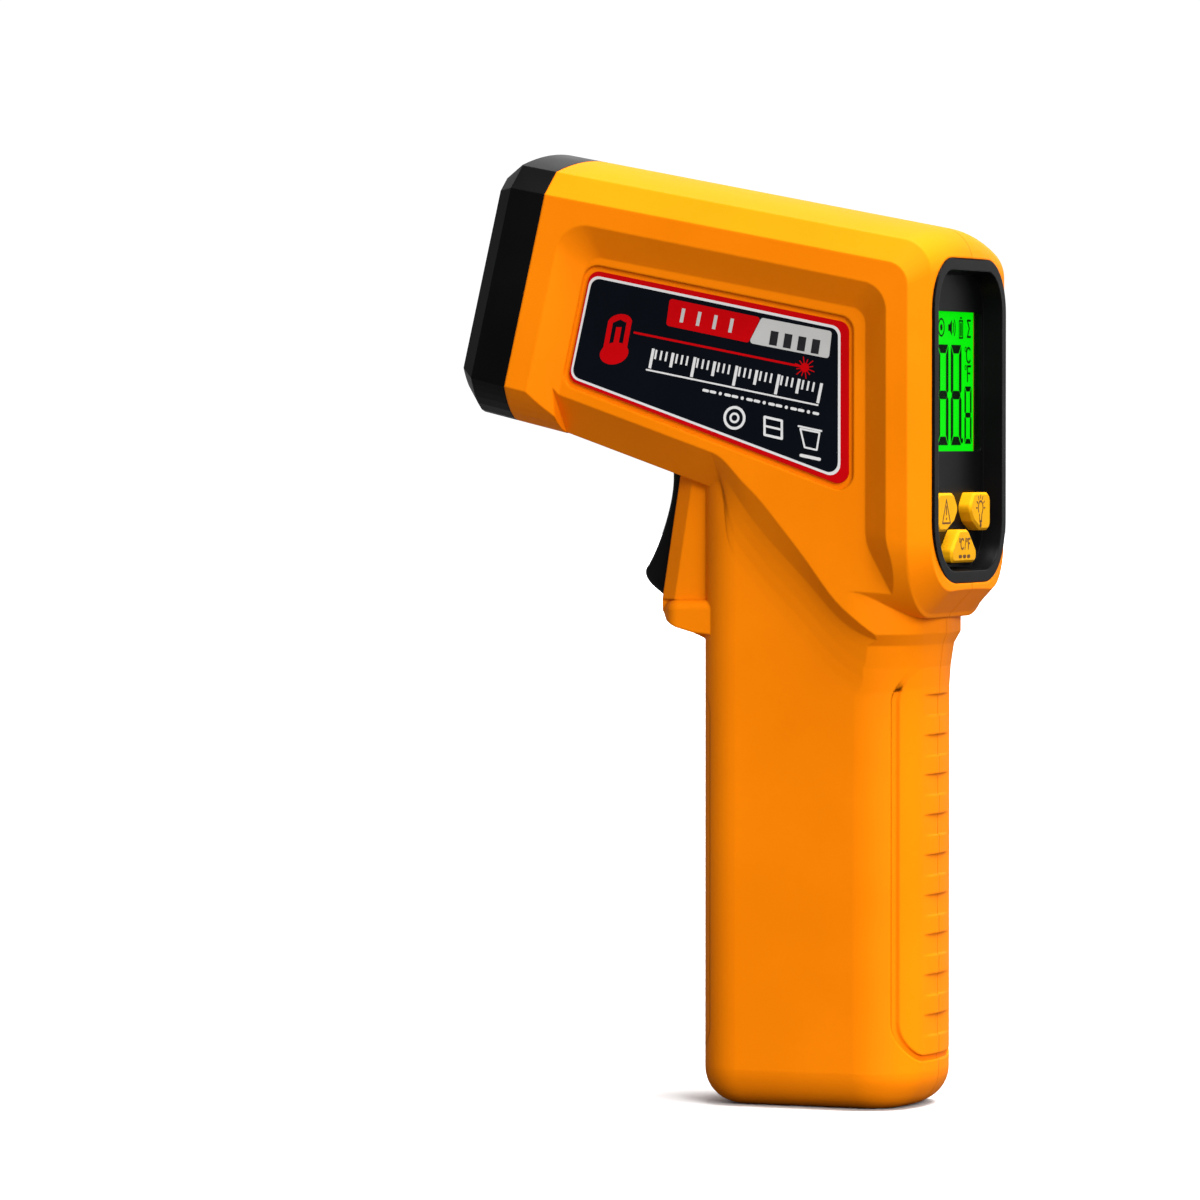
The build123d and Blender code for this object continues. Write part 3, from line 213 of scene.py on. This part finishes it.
def print_on(name, shapes, place, depth, mat, body):
    """Thin closed prisms, one for each outline. place(u, v, d) gives millimetres in the model's frame."""
    bm = bmesh.new()
    for k, poly in enumerate(shapes):
        d = depth + 0.0015 * (k % 7)
        a = [bm.verts.new(Vector(place(u, v, 0.0)) * MM) for u, v in poly]
        b = [bm.verts.new(Vector(place(u, v, d)) * MM) for u, v in poly]
        n = len(poly)
        bm.faces.new(a)
        bm.faces.new(list(reversed(b)))
        for i in range(n):
            bm.faces.new((a[i], b[i], b[(i + 1) % n], a[(i + 1) % n]))
    bmesh.ops.recalc_face_normals(bm, faces=bm.faces[:])
    me = bpy.data.meshes.new(name)
    bm.to_mesh(me)
    bm.free()
    o = bpy.data.objects.new(name, me)
    scene.collection.objects.link(o)
    o.data.materials.append(mat)
    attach(o, body)
    return o


CASE = "case"

# ------------------------------------------------------------------ side labels
for side, tag in ((-1, "left"), (1, "right")):
    def on_label(base):
        return lambda u, v, d: (u, side * (base + d), v)

    S = lambda u, v: (u, v)
    white = rounded([(-32.55, 126.65), (8.25, 118.4), (8.25, 95.45), (-36.1, 110.95)], 1.6)
    navy = rounded([(-32.25, 126.2), (7.85, 118.05), (7.85, 96.0), (-35.7, 111.2)], 1.4)
    print_on("label_line_" + tag, [white], on_label(15.838), 0.02, M["label_white"], CASE)
    print_on("label_field_" + tag, [navy], on_label(15.855), 0.02, M["label_dark"], CASE)
    red, grey, wht = [], [], []
    red.append(rounded([(-19.5, 122.9), (-4.57, 119.9), (-6.65, 116.1), (-20.1, 118.8)], 0.45, 3))
    grey.append(rounded([(-4.5, 119.88), (6.88, 117.75), (6.4, 113.65), (-6.58, 116.08)], 0.45, 3))
    # thermometer pictogram, leaning with the label's front edge
    lean = 0.225
    def lp(x, z):
        return (-28.9 + x + (z - 113.5) * lean * 0.9, z)
    for sx in (-1.55, 1.55):
        red.append([lp(sx - 0.42, 115.4), lp(sx + 0.42, 115.4), lp(sx + 0.42, 119.6), lp(sx - 0.42, 119.6)])
    red.append([lp(-1.97, 119.3)] + [lp(1.97 * math.cos(math.pi - math.pi * i / 10), 119.3 + 1.3 * math.sin(math.pi * i / 10)) for i in range(1, 10)] + [lp(1.97, 119.3), lp(1.0, 119.3), lp(0, 119.75), lp(-1.0, 119.3)])
    red.append([lp(2.35 * math.cos(2 * math.pi * i / 24), 114.6 + 1.7 * math.sin(2 * math.pi * i / 24)) for i in range(24)])
    red.append([lp(-0.45, 115.4), lp(0.45, 115.4), lp(0.45, 118.6), lp(-0.45, 118.6)])
    # beam line and its spot
    red += stroke([(-25.3, 117.75), (1.8, 112.5)], 0.34)
    red.append(ring(2.5, 112.3, 0.72, 14))
    for i in range(12):
        a = 2 * math.pi * i / 12 + 0.13
        r1 = 1.62 if i % 2 else 1.3
        red += stroke([(2.5 + 0.8 * math.cos(a), 112.3 + 0.8 * math.sin(a)), (2.5 + r1 * math.cos(a), 112.3 + r1 * math.sin(a))], 0.16)
    # a plain graduated scale under the beam line
    n = 33
    for i in range(n):
        t = i / (n - 1)
        x = -22.8 + 27.4 * t
        z = 115.25 - 5.35 * t
        h = 2.9 if i % 8 == 0 else (2.1 if i % 4 == 0 else 1.35)
        w = 0.46 if i % 4 == 0 else 0.3
        wht.append([(x - w / 2, z - h), (x + w / 2, z - h - w * 0.2), (x + w / 2 + 0.22 * h, z), (x - w / 2 + 0.22 * h, z + w * 0.2)])
    wht += stroke([(-23.3, 112.1), (4.6, 106.65)], 0.26)
    # row of dots and dashes
    for i in range(16):
        t = i / 15
        x, z = -13.6 + 17.9 * t, 109.0 - 3.5 * t - 0.1
        if i % 3 == 2:
            wht.append(ring(x, z, 0.27, 10))
        else:
            wht += stroke([(x - 0.34, z + 0.07), (x + 0.34, z - 0.07)], 0.42)
    # three plain pictograms: two rings, an open square, a bin-like trapezoid
    def outline(pts, w=0.33):
        return stroke(pts, w, True)
    wht += outline(ring(-8.9, 104.75, 1.6, 22), 0.42)
    wht += outline(ring(-8.9, 104.75, 0.65, 16), 0.34)
    wht += outline([(-4.0, 104.9), (-1.2, 104.3), (-1.2, 101.6), (-4.0, 102.2)], 0.38)
    wht += stroke([(-4.0, 103.55), (-1.2, 102.95)], 0.32)
    wht += outline([(1.8, 103.1), (4.9, 102.5), (4.45, 99.9), (2.5, 100.3)], 0.28)
    wht += stroke([(1.5, 103.5), (5.2, 102.75)], 0.28)
    wht += stroke([(1.9, 99.1), (4.9, 98.5)], 0.48)
    print_on("label_red_" + tag, red, on_label(15.874), 0.02, M["label_red"], CASE)
    print_on("label_grey_" + tag, grey, on_label(15.874), 0.02, M["label_grey"], CASE)
    print_on("label_white_" + tag, wht, on_label(15.874), 0.02, M["label_white"], CASE)
    # plain dark bars where a printed plate would carry its type
    dark = []
    for i in range(4):
        x0 = -3.3 + 2.25 * i
        z0 = 118.0 - 0.19 * (x0 + 3.3)
        dark.append([(x0, z0 - 2.2), (x0 + 1.25, z0 - 2.42), (x0 + 1.6, z0 - 0.3), (x0 + 0.35, z0 - 0.08)])
    print_on("label_bars_" + tag, dark, on_label(15.895), 0.012, M["mark_dark"], CASE)
    pale = []
    for i in range(4):
        x0 = -17.9 + 2.65 * i
        z0 = 121.4 - 0.2 * (x0 + 17.9)
        pale.append([(x0, z0 - 2.1), (x0 + 0.55, z0 - 2.2), (x0 + 1.0, z0 - 0.1), (x0 + 0.45, z0)])
    print_on("label_slashes_" + tag, pale, on_label(15.895), 0.012, M["label_grey"], CASE)


# ------------------------------------------------------------------ display
LCD_X = 18.925


def on_lcd(u, v, d):
    return (LCD_X + d, u, v)


def segment_digit(cy, z0, h, w, t, gap=0.14):
    """Seven pointed bars. cy is the middle along Y, z0 the bottom."""
    out = []
    y0, y1 = cy - w / 2, cy + w / 2
    zm, z1 = z0 + h / 2, z0 + h
    def hbar(z, up):
        return [(y0 + gap, z), (y1 - gap, z), (y1 - gap - t, z + up * t * 1.25), (y0 + gap + t, z + up * t * 1.25)]
    out.append(hbar(z1, -1))
    out.append(hbar(z0, 1))
    m = t * 0.62
    out.append([(y0 + gap + m * 0.4, zm), (y0 + t, zm + m), (y1 - t, zm + m), (y1 - gap - m * 0.4, zm), (y1 - t, zm - m), (y0 + t, zm - m)])
    for y, s in ((y0, 1), (y1, -1)):
        for za, zb in ((z0, zm), (zm, z1)):
            lowe, high = (za + gap * 1.5, zb - gap * 1.5)
            if za == z0:
                out.append([(y, lowe), (y, high - t * 0.4), (y + s * t * 0.5, high), (y + s * t, high - t * 0.6), (y + s * t, lowe + t * 1.3)])
            else:
                out.append([(y, lowe + t * 0.4), (y + s * t * 0.5, lowe), (y + s * t, lowe + t * 0.6), (y + s * t, high - t * 1.3), (y, high)])
    return out


ink = []
for cy in (-11.0, -6.0, -0.2, 5.6):
    if cy == -11.0:
        ink.append([(-12.3, 107.8), (-9.9, 107.8), (-9.9, 108.9), (-12.3, 108.9)])
    else:
        ink += segment_digit(cy, 100.6, 15.3, 4.7, 1.05)
ink += segment_digit(10.95, 100.8, 8.8, 3.1, 0.62)
ink.append(ring(8.35, 101.3, 0.42, 12))
# degree ring with an arc under it, twice
for zc in (114.4, 111.6):
    ink += stroke(ring(9.9, zc + 0.9, 0.34, 10), 0.16, True)
if True:
    ink += stroke([(11.2 + 1.0 * math.cos(a), 114.4 + 1.15 * math.sin(a)) for a in [0.8 + i * 0.52 for i in range(10)]], 0.34)
    ink += stroke([(10.7, 110.4), (10.7, 112.7), (12.1, 112.7)], 0.34)
    ink += stroke([(10.7, 111.6), (11.8, 111.6)], 0.30)
# row of state pictograms
ink += stroke([(-5.6, 117.2), (-5.6, 119.8)], 0.4) + stroke([(-4.1, 117.2), (-4.1, 119.8)], 0.4) + stroke([(-5.6, 118.5), (-4.1, 118.5)], 0.34)
ink += stroke(ring(-1.0, 118.5, 1.3, 20, 1.3), 0.28, True)
ink.append(ring(-1.0, 118.5, 0.5, 12))
ink.append([(2.1, 118.0), (2.8, 118.0), (3.7, 117.3), (3.7, 119.7), (2.8, 119.0), (2.1, 119.0)])
for r in (1.1, 1.8):
    ink += stroke([(3.4 + r * math.cos(a), 118.5 + r * math.sin(a)) for a in [-0.7 + i * 0.35 for i in range(5)]], 0.24)
ink += stroke([(7.0, 117.0), (8.5, 117.0), (8.5, 119.6), (7.0, 119.6)], 0.28, True)
ink += stroke([(7.5, 120.05), (8.0, 120.05)], 0.3)
ink += stroke([(7.75, 117.5), (7.75, 119.1)], 0.6)
ink += stroke([(12.0, 119.7), (10.6, 119.7), (11.5, 118.5), (10.6, 117.2), (12.0, 117.2)], 0.34)
print_on("display_segments", ink, on_lcd, 0.02, M["lcd_ink"], CASE)


# ------------------------------------------------------------------ marks on the keys
def key_face(node):
    a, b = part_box(node)
    return b[0] / MM, (a[1] + b[1]) / 2 / MM, (a[2] + b[2]) / 2 / MM


kx, ky, kz = key_face("button_laser")
pl = lambda u, v, d: (kx + d - 0.005, ky - 0.75 + 0.86 * u, kz + 0.1 + 0.86 * v)
tri = stroke([(-2.0, -2.0), (2.0, -2.0), (0.0, 2.1)], 0.30, True)
tri += stroke([(0.0, 0.9), (0.0, -0.5)], 0.34) + [ring(0, -1.25, 0.24, 10)]
print_on("key_mark_laser", tri, pl, 0.03, M["mark_brown"], "button_laser")
kx2, ky2, kz2 = key_face("button_light")
pl2 = lambda u, v, d: (kx2 + d - 0.005, ky2 + u, kz2 + v)
bulb = stroke([(1.05 * math.cos(a), 0.55 + 1.05 * math.sin(a)) for a in [-1.05 + i * 0.44 for i in range(12)] if True], 0.26)
bulb += stroke([(-0.5, -0.45), (-0.42, -1.3)], 0.26) + stroke([(0.5, -0.45), (0.42, -1.3)], 0.26)
bulb += stroke([(-0.42, -1.5), (0.42, -1.5)], 0.36) + [ring(0, -2.05, 0.36, 12)]
for i in range(7):
    a = math.pi * (i / 6) if True else 0
    bulb += stroke([(1.5 * math.cos(a), 0.55 + 1.5 * math.sin(a)), (1.95 * math.cos(a), 0.55 + 1.95 * math.sin(a))], 0.24)
print_on("key_mark_light", bulb, pl2, 0.03, M["mark_brown"], "button_light")
kx3, ky3, kz3 = key_face("button_mode")
pl3 = lambda u, v, d: (kx3 + d - 0.005, ky3 + u, kz3 + v)
mode = stroke(ring(-2.0, 0.9, 0.30, 10), 0.16, True)
mode += stroke([(-0.9 + 0.7 * math.cos(a), 0.35 + 0.8 * math.sin(a)) for a in [0.8 + i * 0.52 for i in range(10)]], 0.26)
mode += stroke([(0.2, -0.5), (0.6, 1.2)], 0.2)
mode += stroke(ring(1.1, 0.9, 0.26, 10), 0.15, True)
mode += stroke([(1.7, -0.45), (1.7, 1.1), (2.5, 1.1)], 0.26) + stroke([(1.7, 0.4), (2.3, 0.4)], 0.24)
for i in range(3):
    mode += stroke([(-2.3 + 1.85 * i, -1.55), (-1.4 + 1.85 * i, -1.55)], 0.5)
print_on("key_mark_mode", mode, pl3, 0.03, M["mark_brown"], "button_mode")


# ------------------------------------------------------------------ return spring, a copy of the trigger spring attached to the case
def return_spring():
    src = NODES["trigger_spring"]
    me = src.data.copy()
    me.name = "return_spring"
    o = bpy.data.objects.new("return_spring", me)
    bpy.context.view_layer.update()
    o.matrix_world = src.matrix_world.copy()
    scene.collection.objects.link(o)
    bpy.context.view_layer.update()
    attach(o, CASE)
    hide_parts("trigger_spring")
    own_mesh(o)
    return o


return_spring()


# ------------------------------------------------------------------ stage
def stage_floor():
    bm = bmesh.new()
    n, R = 96, 6.0
    rings = []
    for r in (0.0, 0.3, 1.2, 3.0, R):
        if r == 0.0:
            rings.append([bm.verts.new((0, 0, -0.00005))])
            continue
        rings.append([bm.verts.new((r * math.cos(2 * math.pi * i / n), r * math.sin(2 * math.pi * i / n), -0.00005)) for i in range(n)])
    for i in range(n):
        bm.faces.new((rings[0][0], rings[1][i], rings[1][(i + 1) % n]))
        for a, b in zip(rings[1:-1], rings[2:]):
            bm.faces.new((a[i], b[i], b[(i + 1) % n], a[(i + 1) % n]))
    me = bpy.data.meshes.new("floor")
    bm.to_mesh(me)
    bm.free()
    o = bpy.data.objects.new("floor", me)
    scene.collection.objects.link(o)
    m, nt, b = new_mat("floor_white")
    N, L = nt.nodes, nt.links
    out = next(q for q in N if q.type == "OUTPUT_MATERIAL")
    b.inputs["Base Color"].default_value = (0.80, 0.80, 0.80, 1)
    b.inputs["Roughness"].default_value = 0.9
    b.inputs["Specular IOR Level"].default_value = 0.1
    dim = N.new("ShaderNodeBsdfDiffuse")
    dim.inputs["Color"].default_value = (0.13, 0.13, 0.13, 1)
    lp = N.new("ShaderNodeLightPath")
    mix = N.new("ShaderNodeMixShader")
    L.new(lp.outputs["Is Camera Ray"], mix.inputs[0])
    L.new(dim.outputs[0], mix.inputs[1])
    L.new(b.outputs[0], mix.inputs[2])
    L.new(mix.outputs[0], out.inputs["Surface"])
    o.data.materials.append(m)
    return o


floor = stage_floor()

world = bpy.data.worlds.new("studio")
scene.world = world
world.use_nodes = True
wn, wl = world.node_tree.nodes, world.node_tree.links
wn.clear()
wo = wn.new("ShaderNodeOutputWorld")
amb = wn.new("ShaderNodeBackground")
amb.inputs["Color"].default_value = (1, 1, 1, 1)
amb.inputs["Strength"].default_value = 0.31
cam_bg = wn.new("ShaderNodeBackground")
cam_bg.inputs["Color"].default_value = (1, 1, 1, 1)
cam_bg.inputs["Strength"].default_value = 1.05
lp = wn.new("ShaderNodeLightPath")
mx = wn.new("ShaderNodeMixShader")
wl.new(lp.outputs["Is Camera Ray"], mx.inputs[0])
wl.new(amb.outputs[0], mx.inputs[1])
wl.new(cam_bg.outputs[0], mx.inputs[2])
wl.new(mx.outputs[0], wo.inputs["Surface"])


def sun(name, source, strength, angle):
    d = bpy.data.lights.new(name, "SUN")
    d.energy = strength
    d.angle = math.radians(angle)
    o = bpy.data.objects.new(name, d)
    o.rotation_euler = (-Vector(source)).to_track_quat("-Z", "Y").to_euler()
    o.location = Vector(source) * 1.5
    scene.collection.objects.link(o)
    return o


sun("top_light", (0.28, 0.04, 1.0), 7.7, 40)
sun("side_fill", (0.95, -0.95, 0.55), 2.95, 34)
sun("rear_fill", (-0.2, 1.0, 0.4), 1.0, 70)

# ------------------------------------------------------------------ camera
AZ, EL = math.radians(23.0), math.radians(1.4)
LENS, SENSOR = 200.0, 36.0
WIDE = 1200 / 6.53 * MM
DIST = WIDE * LENS / SENSOR
right = Vector((math.cos(AZ), math.sin(AZ), 0))
look = Vector((-math.sin(AZ) * math.cos(EL), math.cos(AZ) * math.cos(EL), -math.sin(EL)))
upv = right.cross(look)
target = right * (-34.75 * MM) + Vector((0, 0, 76.9 * MM))
cd = bpy.data.cameras.new("camera")
cd.lens, cd.sensor_width = LENS, SENSOR
cd.clip_start, cd.clip_end = 0.01, 50.0
cam = bpy.data.objects.new("camera", cd)
rot = Matrix((right, upv, -look)).transposed()
cam.matrix_world = Matrix.Translation(target - look * DIST) @ rot.to_4x4()
scene.collection.objects.link(cam)
scene.camera = cam
scene.view_settings.view_transform = "Standard"
scene.view_settings.look = "None"
